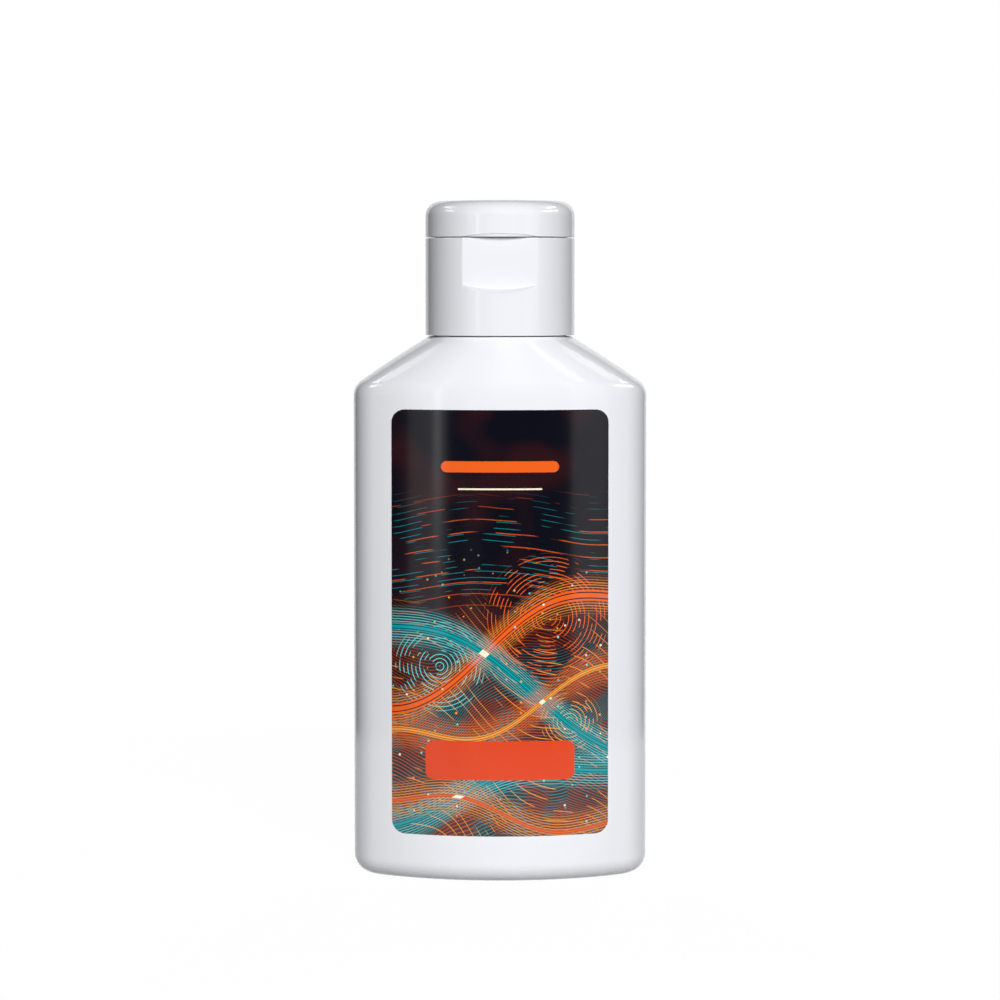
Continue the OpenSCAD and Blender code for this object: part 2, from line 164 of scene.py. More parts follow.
def skin(name, x, y, z, looped=False, start=None, end=None):
    """Smooth piece over columns of points: the first index runs round it, the second along its profile."""
    columns, rows = x.shape
    i = np.arange(columns)[:, None]
    j = (i + 1) % columns
    k = np.arange(rows if looped else rows - 1)[None, :]
    m = (k + 1) % rows
    faces = np.stack(np.broadcast_arrays(i * rows + k, j * rows + k, j * rows + m, i * rows + m), axis=2)
    faces = faces.reshape(-1, 4).tolist()
    points = np.stack([x, y, z], axis=2).reshape(-1, 3).tolist()
    if start is not None:
        faces += [[len(points), (c + 1) % columns * rows, c * rows] for c in range(columns)]
        points.append(start)
    if end is not None:
        last = rows - 1
        faces += [[c * rows + last, (c + 1) % columns * rows + last, len(points)] for c in range(columns)]
        points.append(end)
    mesh = bpy.data.meshes.new(name)
    mesh.from_pydata((np.array(points) * MM).tolist(), [], faces)
    piece = bpy.data.objects.new(name, mesh)
    scene.collection.objects.link(piece)
    smooth(piece)
    return piece


def smooth(piece, sharp_angle=38):
    """Smooth shading, with edges past the sharp angle left crisp."""
    piece.data.shade_smooth()
    piece.data.set_sharp_from_angle(angle=math.radians(sharp_angle))


def drawn_in(inset, z):
    """Level of the rounded base, drawn in from the straight sides."""
    return [half_w - inset, half_d - inset, z]


def base_levels(radius, inset, floor_z, steps):
    """Levels of the rounded base edge, from the foot up to the straight sides."""
    return [drawn_in(inset + radius * (1 - math.sin(turn)), floor_z + radius * (1 - math.cos(turn)))
            for turn in np.radians(np.linspace(0, 90, steps + 1))]


def eased(t):
    """Share from 0 to 1 that starts and ends gently."""
    return t * t * (3 - 2 * t)


def foot_levels(floor_z, steps=8, hollow_shares=(0.2, 0.6)):
    """Levels from the hollow under the base down to the ring that the bottle stands on."""
    foot_inset = base_edge_r + foot_w
    hollow_inset = foot_inset + push_up
    hollow = [[(half_w - hollow_inset) * share, (half_d - hollow_inset) * share, floor_z + push_up]
              for share in hollow_shares]
    slope = [drawn_in(foot_inset + push_up * t, floor_z + push_up * eased(t))
             for t in np.linspace(1, 0, steps + 1)]
    return hollow + slope


def shoulder_levels(depth, edge_steps=14, slope_steps=16):
    """Levels of the shoulder at a depth behind its outer skin, from the straight sides to the round top."""
    turns = np.linspace(0, edge_turn, edge_steps + 1)
    edge = [(half_w - shoulder_edge_r * (1 - math.cos(math.radians(turn))),
             edge_centre_z + shoulder_edge_r * math.sin(math.radians(turn)), turn) for turn in turns]
    edge_a, edge_z, _ = edge[-1]
    rise = shoulder_top_z - edge_z
    slope = []
    for t in np.linspace(0, 1, slope_steps + 1)[1:]:
        a = edge_a + (shoulder_top_r - edge_a) * t
        steepness = (rise + 4 * shoulder_bow * (1 - 2 * t)) / (edge_a - shoulder_top_r)
        slope.append((a, edge_z + rise * t + 4 * shoulder_bow * t * (1 - t),
                      90 - math.degrees(math.atan(steepness))))
    levels = []
    for a, z, turn in edge + slope:
        b = half_d + (shoulder_top_r - half_d) * (half_w - a) / shoulder_run
        levels.append([a - depth * math.cos(math.radians(turn)), b - depth,
                       z - depth * math.sin(math.radians(turn))])
    return levels


def node_maker(tree):
    """Function that adds a node to the tree, sets its properties and links or fills its inputs."""
    def make(kind, inputs=None, **properties):
        made = tree.nodes.new(kind)
        for name, value in properties.items():
            setattr(made, name, value)
        for name, value in (inputs or {}).items():
            if isinstance(value, bpy.types.NodeSocket):
                tree.links.new(value, made.inputs[name])
            else:
                made.inputs[name].default_value = value
        return made
    return make


def new_material(name):
    """Empty material with a principled shader, as its node maker, its shader and the material."""
    material = bpy.data.materials.new(name)
    material.use_nodes = True
    return material, node_maker(material.node_tree), material.node_tree.nodes["Principled BSDF"]


PLASTIC_IOR = 1.5


def moulded_plastic(name, colour, roughness, ripple_size, ripple_height, grain_height):
    """Glossy moulded plastic: long ripples from the mould, a fine grain, and patches of softer gloss."""
    patches_per_metre = 120
    patch_gloss = (0.85, 1.2)
    patch_tint = 0.985
    grain_size = 0.35
    material, make, shader = new_material(name)
    link = material.node_tree.links.new
    where = make("ShaderNodeTexCoord").outputs["Object"]
    patches = make("ShaderNodeTexNoise", {"Vector": where, "Scale": patches_per_metre, "Detail": 3})
    gloss = make("ShaderNodeMapRange", {"Value": patches.outputs["Fac"], "From Min": 0.3, "From Max": 0.7,
                                        "To Min": roughness * patch_gloss[0],
                                        "To Max": roughness * patch_gloss[1]})
    tone = make("ShaderNodeMix", data_type="RGBA")
    link(patches.outputs["Fac"], tone.inputs["Factor"])
    tone.inputs[6].default_value = [*[channel * patch_tint for channel in colour], 1]
    tone.inputs[7].default_value = [*colour, 1]
    ripples = make("ShaderNodeTexNoise", {"Vector": where, "Scale": 1 / (ripple_size * MM), "Detail": 1})
    grain = make("ShaderNodeTexNoise", {"Vector": where, "Scale": 1 / (grain_size * MM), "Detail": 2})
    low_bump = make("ShaderNodeBump", {"Height": ripples.outputs["Fac"], "Distance": ripple_height * MM,
                                       "Strength": 1.0})
    bump = make("ShaderNodeBump", {"Height": grain.outputs["Fac"], "Distance": grain_height * MM,
                                   "Strength": 1.0, "Normal": low_bump.outputs["Normal"]})
    link(tone.outputs[2], shader.inputs["Base Color"])
    link(gloss.outputs["Result"], shader.inputs["Roughness"])
    link(bump.outputs["Normal"], shader.inputs["Normal"])
    shader.inputs["IOR"].default_value = PLASTIC_IOR
    return material


def thread_tree(finish):
    """Nodes that add a screw thread to a turned piece: a trapezium carried along a helix."""
    steps_per_turn = 72
    tip_size = 0.12
    tree = bpy.data.node_groups.new("screw_thread", "GeometryNodeTree")
    tree.interface.new_socket("Piece", in_out="INPUT", socket_type="NodeSocketGeometry")
    for name in ("Root radius", "Height", "Sink", "Root width", "Crest width", "Pitch", "Turns",
                 "Start height", "Start angle", "Run-out"):
        tree.interface.new_socket(name, in_out="INPUT", socket_type="NodeSocketFloat")
    tree.interface.new_socket("Piece", in_out="OUTPUT", socket_type="NodeSocketGeometry")
    make = node_maker(tree)
    given = make("NodeGroupInput").outputs

    def work(operation, first, second, clamp=False):
        return make("ShaderNodeMath", {0: first, 1: second}, operation=operation,
                    use_clamp=clamp).outputs[0]

    def corner(across, along):
        return make("ShaderNodeCombineXYZ", {"X": across, "Y": along}).outputs["Vector"]

    rise = work("MULTIPLY", given["Pitch"], given["Turns"])
    helix = make("GeometryNodeCurveSpiral", {"Resolution": steps_per_turn, "Rotations": given["Turns"],
                                             "Start Radius": given["Root radius"],
                                             "End Radius": given["Root radius"], "Height": rise})
    turned_to = make("ShaderNodeCombineXYZ", {"Z": given["Start angle"]}).outputs["Vector"]
    lifted_to = make("ShaderNodeCombineXYZ", {"Z": given["Start height"]}).outputs["Vector"]
    placed = make("GeometryNodeTransform", {"Geometry": helix.outputs["Curve"],
                                            "Translation": lifted_to, "Rotation": turned_to})
    upright = make("GeometryNodeSetCurveNormal", {"Curve": placed.outputs["Geometry"]}, mode="Z_UP")
    inside = work("MULTIPLY", given["Sink"], -1.0)
    root_half = work("MULTIPLY", given["Root width"], 0.5)
    crest_half = work("MULTIPLY", given["Crest width"], 0.5)
    section = make("GeometryNodeCurvePrimitiveQuadrilateral", {
        "Point 1": corner(inside, work("MULTIPLY", root_half, -1.0)),
        "Point 2": corner(given["Height"], work("MULTIPLY", crest_half, -1.0)),
        "Point 3": corner(given["Height"], crest_half),
        "Point 4": corner(inside, root_half)}, mode="POINTS")
    along = make("GeometryNodeSplineParameter").outputs["Length"]
    whole = make("GeometryNodeSplineLength").outputs["Length"]
    from_end = work("MINIMUM", along, work("SUBTRACT", whole, along))
    full = work("DIVIDE", from_end, given["Run-out"], clamp=True)
    swept = make("GeometryNodeCurveToMesh", {"Curve": upright.outputs["Curve"],
                                             "Profile Curve": section.outputs["Curve"],
                                             "Scale": work("MAXIMUM", full, tip_size),
                                             "Fill Caps": True})
    outside_in = work("LESS_THAN", given["Height"], 0.0)
    turned = make("GeometryNodeFlipFaces", {"Mesh": swept.outputs["Mesh"], "Selection": outside_in})
    together = make("GeometryNodeJoinGeometry")
    tree.links.new(given["Piece"], together.inputs[0])
    tree.links.new(turned.outputs["Mesh"], together.inputs[0])
    real = make("GeometryNodeRealizeInstances", {"Geometry": together.outputs["Geometry"]})
    finished = make("GeometryNodeSetMaterial", {"Geometry": real.outputs["Geometry"], "Material": finish})
    make("NodeGroupOutput", {"Piece": finished.outputs["Geometry"]})
    return tree


def add_thread(piece, tree, sizes):
    """Runs the thread's nodes on a piece with these sizes and keeps the result as its plain mesh."""
    modifier = piece.modifiers.new("screw_thread", "NODES")
    modifier.node_group = tree
    for item in tree.interface.items_tree:
        if item.in_out == "INPUT" and item.name in sizes:
            modifier[item.identifier] = float(sizes[item.name])
    evaluated = piece.evaluated_get(bpy.context.evaluated_depsgraph_get())
    mesh = bpy.data.meshes.new_from_object(evaluated)
    piece.modifiers.clear()
    piece.data = mesh
    smooth(piece)


arc_columns = 64
side_columns = 80
arc_facings = np.linspace(-join_angle, join_angle, arc_columns, endpoint=False)
side_facings = np.linspace(join_angle, 180 - join_angle, side_columns, endpoint=False)
parting_facings = 90 + np.array([-1.0, -0.7, -0.35, 0.35, 0.7, 1.0])
bottle_facings = np.unique(np.round(np.concatenate([
    arc_facings, side_facings, parting_facings,
    arc_facings + 180, side_facings + 180, parting_facings + 180]), 4))

neck_profile = rounded([
    (shoulder_top_r, shoulder_top_z, 0),
    (neck_root_r, shoulder_top_z + neck_root_rise, 0),
    (neck_root_r - neck_root_w, shoulder_top_z + neck_root_h, 0.3),
    (neck_r, shoulder_top_z + 2 * neck_root_h, 0.15),
    (neck_r, support_z[0], 0.2),
    (support_r, support_z[0], 0.3),
    (support_r, support_z[1], 0.3),
    (neck_r, support_z[1], 0.3),
    (neck_r, neck_top_z, 0.25),
    (bore_r, neck_top_z, 0.25),
    (bore_r, top_plate_z, 0.25),
    (top_plate_r, top_plate_z, 0),
])
base_steps = 14
side_steps = 17
inner_steps = 6
side_levels = [drawn_in(0, z) for z in np.linspace(base_edge_r, edge_centre_z, side_steps + 1)[1:-1]]
outer_levels = (foot_levels(0) + base_levels(base_edge_r, 0, 0, base_steps)[1:]
                + side_levels + shoulder_levels(0)[:-1])
inner_levels = [level for level in shoulder_levels(wall, inner_steps, inner_steps)[::-1]
                if level[0] > shoulder_top_r]
inner_levels += base_levels(base_edge_r - wall, wall, wall, inner_steps)[::-1] + foot_levels(wall)[::-1]
neck_levels = [[r, r, z] for r, z in neck_profile]
levels = np.array(outer_levels + neck_levels + inner_levels)

# The parting line stands out from the outer skin only, and the sides step back by its height.
facing = bottle_facings[:, None]
on_outside = np.arange(len(levels)) < len(outer_levels)
half_widths = levels[:, 0] - np.where(on_outside, parting_height, 0)
bottle_x, bottle_y = oval(facing, half_widths[None, :], levels[None, :, 1])
off_parting = np.minimum(abs(facing - 90), abs(facing - 270))
ridge = parting_height * np.exp(-(off_parting / parting_turn) ** 2) * on_outside[None, :]
bottle = skin("bottle_body", bottle_x + np.sign(bottle_x) * ridge, bottle_y,
              np.broadcast_to(levels[:, 2], bottle_x.shape),
              start=(0, 0, push_up), end=(0, 0, push_up + wall))

bottle_plastic = moulded_plastic("bottle_plastic", colour=(0.885, 0.897, 0.94), roughness=0.1,
                                 ripple_size=9, ripple_height=0.02, grain_height=0.0006)
add_thread(bottle, thread_tree(bottle_plastic), {
    "Root radius": neck_r * MM, "Height": thread_height * MM, "Sink": thread_sink * MM,
    "Root width": thread_root_w * MM, "Crest width": thread_crest_w * MM, "Pitch": thread_pitch * MM,
    "Turns": thread_turns, "Start height": thread_start_z * MM, "Start angle": 0,
    "Run-out": thread_run_out * MM})
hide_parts("bottle")
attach(bottle, "bottle_body")

# Front label. A glossy printed film with rounded corners, stuck round the flatter front of the
# body. Its print is a generic one: a dark ground with fine waves, rings and dots in orange,
# teal and cream, a thin orange bar near the top and a bare orange panel near the foot.
label_t = 0.1
label_gap = 0.01
label_corner_r = 2
label_bevel = 0.06
label_columns = 90
label_corner_rows = 14
label_side_rows = 24
UV_SCALE = 0.01


class Field:
    """A number that varies over the print, worked out by maths nodes."""

    def __init__(self, make, socket):
        self.make = make
        self.socket = socket

    def work(self, operation, *others, clamp=False):
        inputs = {0: self.socket}
        for place, other in enumerate(others, start=1):
            inputs[place] = other.socket if isinstance(other, Field) else float(other)
        made = self.make("ShaderNodeMath", inputs, operation=operation, use_clamp=clamp)
        return Field(self.make, made.outputs[0])

    def __add__(self, other):
        return self.work("ADD", other)

    def __sub__(self, other):
        return self.work("SUBTRACT", other)

    def __mul__(self, other):
        return self.work("MULTIPLY", other)

    def __truediv__(self, other):
        return self.work("DIVIDE", other)

    def __abs__(self):
        return self.work("ABSOLUTE")

    def sine(self):
        return self.work("SINE")

    def most(self, other):
        return self.work("MAXIMUM", other)

    def under(self, limit, soft):
        """1 where the number is under the limit, 0 where it is over, with a soft step between."""
        made = self.make("ShaderNodeMapRange", {"Value": self.socket, "From Min": limit + soft / 2,
                                                "From Max": limit - soft / 2}, clamp=True)
        return Field(self.make, made.outputs["Result"])

    def between(self, low, high, soft):
        """1 where the number lies between these two, with a soft step at each."""
        return self.under(high, soft) * (self * -1.0).under(-low, soft)

    def lines(self, spacing, half_width, soft):
        """1 on lines this far apart, which reach this far to either side, with soft edges."""
        return self.work("PINGPONG", spacing / 2).under(half_width, soft)


def label_film(name, side):
    """Thin closed film bent round the body, on the front at side -1 and on the back at side 1."""
    low, high = corners_of("front_label")
    middle_z = (low[2] + high[2]) / 2
    half_height = (high[2] - low[2]) / 2
    half_width = high[0]
    across = np.sin(np.linspace(-math.pi / 2, math.pi / 2, label_columns))[None, :]
    corner = label_corner_r * (1 - np.cos(np.linspace(0, math.pi / 2, label_corner_rows)))
    straight = np.linspace(label_corner_r, half_height, label_side_rows)[1:]
    from_edge = np.concatenate([corner, straight])
    v = np.concatenate([-half_height + from_edge, (half_height - from_edge)[::-1][1:]])[:, None]
    near = np.minimum(half_height - abs(v), label_corner_r)
    narrowing = label_corner_r - np.sqrt(label_corner_r ** 2 - (label_corner_r - near) ** 2)
    u = across * (half_width - narrowing)
    points, uvs = [], []
    for radius, inset in ((face_r + label_gap, 0), (face_r + label_t, label_bevel)):
        shrink_u = u * (1 - inset / half_width)
        shrink_v = v * (1 - inset / half_height) + 0 * u
        x = shrink_u * radius / face_r
        y = side * (np.sqrt(radius ** 2 - x ** 2) - face_r + half_d)
        points.append(np.stack([x, y, middle_z + shrink_v], axis=2).reshape(-1, 3))
        uvs.append(np.stack([u + half_width, v + half_height + 0 * u], axis=2).reshape(-1, 2) * UV_SCALE)
    rows, columns = u.shape
    count = rows * columns
    k, i = np.meshgrid(np.arange(rows - 1), np.arange(columns - 1), indexing="ij")
    corner_index = (k * columns + i).reshape(-1)
    quads = np.stack([corner_index, corner_index + 1, corner_index + columns + 1,
                      corner_index + columns], axis=1)
    rim = np.concatenate([np.arange(columns), np.arange(1, rows) * columns + columns - 1,
                          (rows - 1) * columns + np.arange(columns - 2, -1, -1),
                          np.arange(rows - 2, 0, -1) * columns])
    after = np.roll(rim, -1)
    walls = np.stack([rim, after, after + count, rim + count], axis=1)
    faces = np.concatenate([quads + count, quads[:, ::-1], walls])
    if side > 0:
        faces = faces[:, ::-1]
    mesh = bpy.data.meshes.new(name)
    mesh.from_pydata((np.concatenate(points) * MM).tolist(), [], faces.tolist())
    layer = mesh.uv_layers.new(name="print")
    corner_vertices = np.array([loop.vertex_index for loop in mesh.loops])
    layer.data.foreach_set("uv", np.concatenate(uvs)[corner_vertices].astype(np.float32).ravel())
    piece = bpy.data.objects.new(name, mesh)
    scene.collection.objects.link(piece)
    smooth(piece)
    return piece


class Print:
    """Film material whose print is built up in layers over a ground colour."""

    def __init__(self, name, ground, roughness):
        self.material, self.make, self.shader = new_material(name)
        uv = self.make("ShaderNodeUVMap", uv_map="print").outputs["UV"]
        parts = self.make("ShaderNodeSeparateXYZ", {"Vector": uv}).outputs
        half_width = corners_of("front_label")[1][0]
        self.uv = uv
        self.u = Field(self.make, parts["X"]) / UV_SCALE - half_width
        self.v = Field(self.make, parts["Y"]) / UV_SCALE
        ground_node = self.make("ShaderNodeRGB")
        ground_node.outputs[0].default_value = (*ground, 1)
        self.colour = ground_node.outputs[0]
        self.roughness = roughness

    def noise(self, size, seed, detail=1.0):
        """Slow random field whose patches are about this many millimetres across."""
        placed = self.make("ShaderNodeMapping", {"Vector": self.uv, "Location": (seed, seed * 0.7, 0)})
        made = self.make("ShaderNodeTexNoise", {"Vector": placed.outputs["Vector"],
                                                "Scale": 1 / (size * UV_SCALE), "Detail": detail})
        return Field(self.make, made.outputs["Fac"])

    def lay(self, mask, colour, strength=1.0):
        """Prints a colour where the mask is 1, at this strength."""
        cover = mask * strength if strength < 1 else mask
        mixed = self.make("ShaderNodeMix", data_type="RGBA")
        links = self.material.node_tree.links
        links.new(cover.socket, mixed.inputs["Factor"])
        links.new(self.colour, mixed.inputs[6])
        mixed.inputs[7].default_value = (*colour, 1)
        self.colour = mixed.outputs[2]

    def finish(self):
        """Links the colour and a gloss that varies a little, with the slack of a film stuck by machine."""
        gloss_spread = 0.06
        slack_height = 0.02
        links = self.material.node_tree.links
        links.new(self.colour, self.shader.inputs["Base Color"])
        gloss = self.noise(size=14, seed=3.1) * gloss_spread + (self.roughness - gloss_spread / 2)
        links.new(gloss.socket, self.shader.inputs["Roughness"])
        slack = self.make("ShaderNodeBump", {"Height": self.noise(size=18, seed=5.3).socket,
                                             "Distance": slack_height * MM, "Strength": 1.0})
        links.new(slack.outputs["Normal"], self.shader.inputs["Normal"])
        self.shader.inputs["IOR"].default_value = PLASTIC_IOR
        return self.material


ORANGE = (0.90, 0.13, 0.015)
PANEL_ORANGE = (0.78, 0.055, 0.004)
AMBER = (0.95, 0.36, 0.05)
RUST = (0.30, 0.035, 0.01)
TEAL = (0.0, 0.36, 0.40)
BRIGHT_TEAL = (0.15, 0.75, 0.78)
DEEP_TEAL = (0.0, 0.09, 0.11)
CREAM = (1.0, 0.93, 0.72)
NAVY = (0.004, 0.004, 0.009)


def wave(art, level, swell, stretch, shift, tilt=0.0):
    """Height above a wave that runs across the print at this level."""
    curve = (art.u / stretch + shift).sine() * swell
    return art.v - level - curve - art.u * tilt


def reach_of(off_u, off_v):
    """Straight distance to a point that lies this far off across and along the print."""
    return (off_u * off_u + off_v * off_v).work("SQRT")


def ribbon(art, height_above, half_width, tint, echo_tint):
    """Prints one wave with a glow round it and fine lines beside it, and gives the wave's own mask."""
    off = abs(height_above)
    art.lay(off.under(1.2, soft=5.0), tint, strength=0.22)
    echoes = off.lines(0.4, 0.055, soft=0.06) * off.under(2.5, soft=1.6)
    art.lay(echoes * off.between(half_width, 9, soft=0.1), echo_tint, strength=0.85)
    core = off.under(half_width, soft=0.07)
    art.lay(core, tint)
    art.lay(off.between(half_width * 0.42, half_width * 0.62, soft=0.06), NAVY)
    return core


def front_print():
    """Print of the front label, from its ground up to the panel, with its sizes in millimetres."""
    art = Print("label_print", NAVY, roughness=0.15)
    drift = (art.noise(size=13, seed=1.7) - 0.5) * 7.0
    warm = art.noise(size=7, seed=8.2).under(0.49, soft=0.08)
    cool = warm * -1.0 + 1.0

    rust_haze = art.noise(size=9, seed=2.4, detail=2.0).under(0.5, soft=0.3)
    art.lay(rust_haze * art.v.under(31, soft=24), RUST, strength=0.3)
    teal_haze = art.noise(size=8, seed=6.1, detail=2.0).under(0.47, soft=0.3)
    art.lay(teal_haze * art.v.under(17, soft=22), DEEP_TEAL, strength=0.5)
    high_haze = art.noise(size=12, seed=7.7).under(0.44, soft=0.12)
    art.lay(high_haze * art.v.between(44, 70, soft=8), RUST, strength=0.07)

    warm_wave = wave(art, 0, swell=3.2, stretch=5.1, shift=0.6) + drift
    warm_lines = warm_wave.lines(0.46, 0.05, soft=0.08)
    art.lay(warm_lines * warm * art.v.under(29, soft=20), ORANGE, strength=0.6)
    cool_wave = wave(art, 0, swell=2.6, stretch=4.3, shift=2.1, tilt=0.55) + drift * 0.7
    cool_lines = cool_wave.lines(0.46, 0.05, soft=0.08)
    art.lay(cool_lines * cool * art.v.under(26, soft=20), TEAL, strength=0.85)
    cross_wave = wave(art, 0, swell=2.2, stretch=3.7, shift=4.0, tilt=-0.7) + drift * 0.5
    cross_lines = cross_wave.lines(1.7, 0.06, soft=0.07)
    cross_patches = art.noise(size=5, seed=3.3).under(0.5, soft=0.05)
    art.lay(cross_lines * cross_patches * art.v.under(33, soft=10), AMBER)

    rings = ((7.4, 33.5, 9.5, ORANGE), (-9.2, 26.0, 7.0, BRIGHT_TEAL), (10.6, 17.5, 4.6, AMBER))
    for centre_u, centre_v, radius, tint in rings:
        reach = reach_of(art.u - centre_u, art.v - centre_v)
        broken = art.noise(size=2.2, seed=centre_v).under(0.52, soft=0.05)
        art.lay(reach.lines(0.62, 0.06, soft=0.06) * reach.under(radius, soft=1.0) * broken, tint)

    upper_orange = ribbon(art, wave(art, 29.0, swell=3.6, stretch=6.4, shift=0.4, tilt=0.42),
                          0.85, ORANGE, AMBER)
    upper_teal = ribbon(art, wave(art, 24.0, swell=3.4, stretch=7.3, shift=2.4, tilt=-0.45),
                        0.55, TEAL, BRIGHT_TEAL)
    lower_amber = ribbon(art, wave(art, 18.5, swell=2.6, stretch=5.2, shift=5.1, tilt=0.3),
                         0.38, AMBER, ORANGE)
    lower_teal = ribbon(art, wave(art, 7.2, swell=2.2, stretch=6.1, shift=1.2, tilt=0.24),
                        0.5, TEAL, BRIGHT_TEAL)
    lower_orange = ribbon(art, wave(art, 3.4, swell=1.6, stretch=4.4, shift=3.0, tilt=-0.16),
                          0.26, ORANGE, AMBER)
    art.lay(upper_orange * upper_teal, CREAM)
    art.lay(lower_amber * upper_teal, CREAM)
    art.lay(lower_teal * lower_orange, CREAM)

    upper = art.v.between(36, 50, soft=6)
    high_wave = wave(art, 0, swell=1.3, stretch=6.0, shift=1.9) + drift * 0.25
    high_lines = high_wave.lines(1.9, 0.07, soft=0.06)
    art.lay(high_lines * upper * art.noise(size=6, seed=4.4).under(0.5, soft=0.05), ORANGE, strength=0.7)
    teal_wave = wave(art, 0.7, swell=1.3, stretch=6.0, shift=1.9) + drift * 0.25
    teal_lines = teal_wave.lines(0.95, 0.05, soft=0.06)
    art.lay(teal_lines * upper * art.noise(size=5, seed=9.9).under(0.47, soft=0.05), TEAL, strength=0.6)

    dot_spacing = 1.1
    dot_share = 0.16
    cells = art.make("ShaderNodeTexVoronoi", {"Vector": art.uv, "Scale": 1 / (dot_spacing * UV_SCALE)})
    off_dot = Field(art.make, cells.outputs["Distance"])
    dots = off_dot.under(dot_share, soft=0.05) * art.v.under(40, soft=10)
    cell_colour = art.make("ShaderNodeSeparateColor", {"Color": cells.outputs["Color"]})
    choice = Field(art.make, cell_colour.outputs[0])
    art.lay(dots * choice.under(0.1, soft=0.01), AMBER)
    art.lay(dots * choice.between(0.1, 0.15, soft=0.01), CREAM)
    art.lay(dots * choice.between(0.15, 0.22, soft=0.01), BRIGHT_TEAL)

    foot_panel = (11.4, 3.0, 11.6, 1.2, PANEL_ORANGE)
    top_bar = (9.0, 0.85, 56.6, 0.85, ORANGE)
    for half_u, half_v, level, corner_r, tint in (foot_panel, top_bar):
        off_u = (abs(art.u) - (half_u - corner_r)).most(0.0)
        off_v = (abs(art.v - level) - (half_v - corner_r)).most(0.0)
        art.lay(reach_of(off_u, off_v).under(corner_r, soft=0.07), tint)
    hairline = abs(art.v - 53.2).under(0.13, soft=0.05) * abs(art.u).under(6.4, soft=0.1)
    art.lay(hairline, CREAM)
    return art.finish()


front_label = label_film("front_label_film", side=-1)
front_label.data.materials.append(front_print())
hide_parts("front_label")
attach(front_label, "bottle_body")

# Back label. The same film in plain white, as such bottles carry behind. It is left bare but
# for two thin waves along its foot, in the front label's colours.


def back_print():
    """Print of the back label: a white ground with two thin waves."""
    art = Print("label_blank", ground=(0.87, 0.88, 0.905), roughness=0.22)
    lower_wave = wave(art, 5.2, swell=0.8, stretch=3.0, shift=0.0)
    upper_wave = wave(art, 6.3, swell=0.8, stretch=3.0, shift=0.5)
    art.lay(abs(lower_wave).under(0.22, soft=0.07), TEAL)
    art.lay(abs(upper_wave).under(0.12, soft=0.07), ORANGE)
    return art.finish()


back_label = label_film("back_label_film", side=1)
back_label.data.materials.append(back_print())
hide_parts("back_label")
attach(back_label, "bottle_body")

# Seal ring. A flat ring punched from closed-cell foam, which is pushed up into the closure's
# sleeve and seals against the neck's lip.
turned_facings = np.linspace(-180, 180, 240, endpoint=False)


def turned_ring(name, profile):
    """Ring turned from a closed profile of radii and heights."""
    facing = np.radians(turned_facings)[:, None]
    return skin(name, profile[None, :, 0] * np.sin(facing), -profile[None, :, 0] * np.cos(facing),
                np.broadcast_to(profile[:, 1], (len(turned_facings), len(profile))), looped=True)


def foam(name, colour, cell_size, cell_depth):
    """Matt foam with a skin of fine cells."""
    material, make, shader = new_material(name)
    where = make("ShaderNodeTexCoord").outputs["Object"]
    cells = make("ShaderNodeTexVoronoi", {"Vector": where, "Scale": 1 / (cell_size * MM)})
    tone = make("ShaderNodeMapRange", {"Value": cells.outputs["Distance"], "To Min": 0.9, "To Max": 1.0})
    shade = make("ShaderNodeMix", data_type="RGBA", blend_type="MULTIPLY")
    shade.inputs["Factor"].default_value = 1
    shade.inputs[6].default_value = (*colour, 1)
    bump = make("ShaderNodeBump", {"Height": cells.outputs["Distance"], "Distance": cell_depth * MM})
    link = material.node_tree.links.new
    link(tone.outputs["Result"], shade.inputs[7])
    link(shade.outputs[2], shader.inputs["Base Color"])
    link(bump.outputs["Normal"], shader.inputs["Normal"])
    shader.inputs["Roughness"].default_value = 0.85
    return material


seal_low, seal_high = corners_of("seal_ring")
seal_r = seal_high[0]
seal_z = seal_low[2]
deck_z = seal_high[2]
seal_hole_r = 3.5
seal_edge_r = 0.12
seal_ring = turned_ring("seal_ring_foam", rounded([
    (seal_hole_r, seal_z, seal_edge_r), (seal_r, seal_z, seal_edge_r),
    (seal_r, deck_z, seal_edge_r), (seal_hole_r, deck_z, seal_edge_r)], closed=True))
seal_ring.data.materials.append(foam("seal_foam", colour=(0.86, 0.86, 0.83), cell_size=0.3, cell_depth=0.05))
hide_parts("seal_ring")
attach(seal_ring, "seal_body")

# Closure base. Injection moulded in glossy white plastic: an outer skirt round a threaded
# sleeve, a deck with its collar and spout, a flat thumb recess in front with a curved ledge,
# and a flat window behind for the hinge. It screws onto the neck.
base_low, base_high = corners_of("closure_base")
cap_r = base_high[0]
skirt_drop = 0.15
skirt_z = base_low[2] - skirt_drop
seam_z = 98.56
deck_top_z = 98.15
spout_top_z = 100.35
collar_top_z = 99.55
skirt_t = 0.9
skirt_inner_r = cap_r - skirt_t
skirt_middle_r = cap_r - skirt_t / 2
collar_r = 9.9
collar_t = 0.6
spout_r = 3.2
spout_bore_r = 1.6
sleeve_r = 9.05
sleeve_outer_r = 10.0
sleeve_z = 86.05
sleeve_middle_r = (sleeve_r + sleeve_outer_r) / 2
sleeve_thread_root_w = 1.5
sleeve_thread_crest_w = 0.6
sleeve_thread_z = 87.581
sleeve_thread_turn = -90
edge_r = 0.12
thumb_face_y = 10.035
thumb_half_w = 5.72
thumb_z = 90.65
thumb_curve_r = 22.48
thumb_slope = math.tan(math.radians(22))
window_half_w = 4.6
window_face_y = 10.595
window_z = [95.425, 101.825]
front_block = {"half_width": 6.52, "floor_z": 89.45}
back_block = {"half_width": 5.4, "floor_z": 94.09}
block_r = 10.3
block_fade = 0.3
pocket_z = 88.5
row_gap = 0.003
crisp = 0.04
broken_edge = 0.05


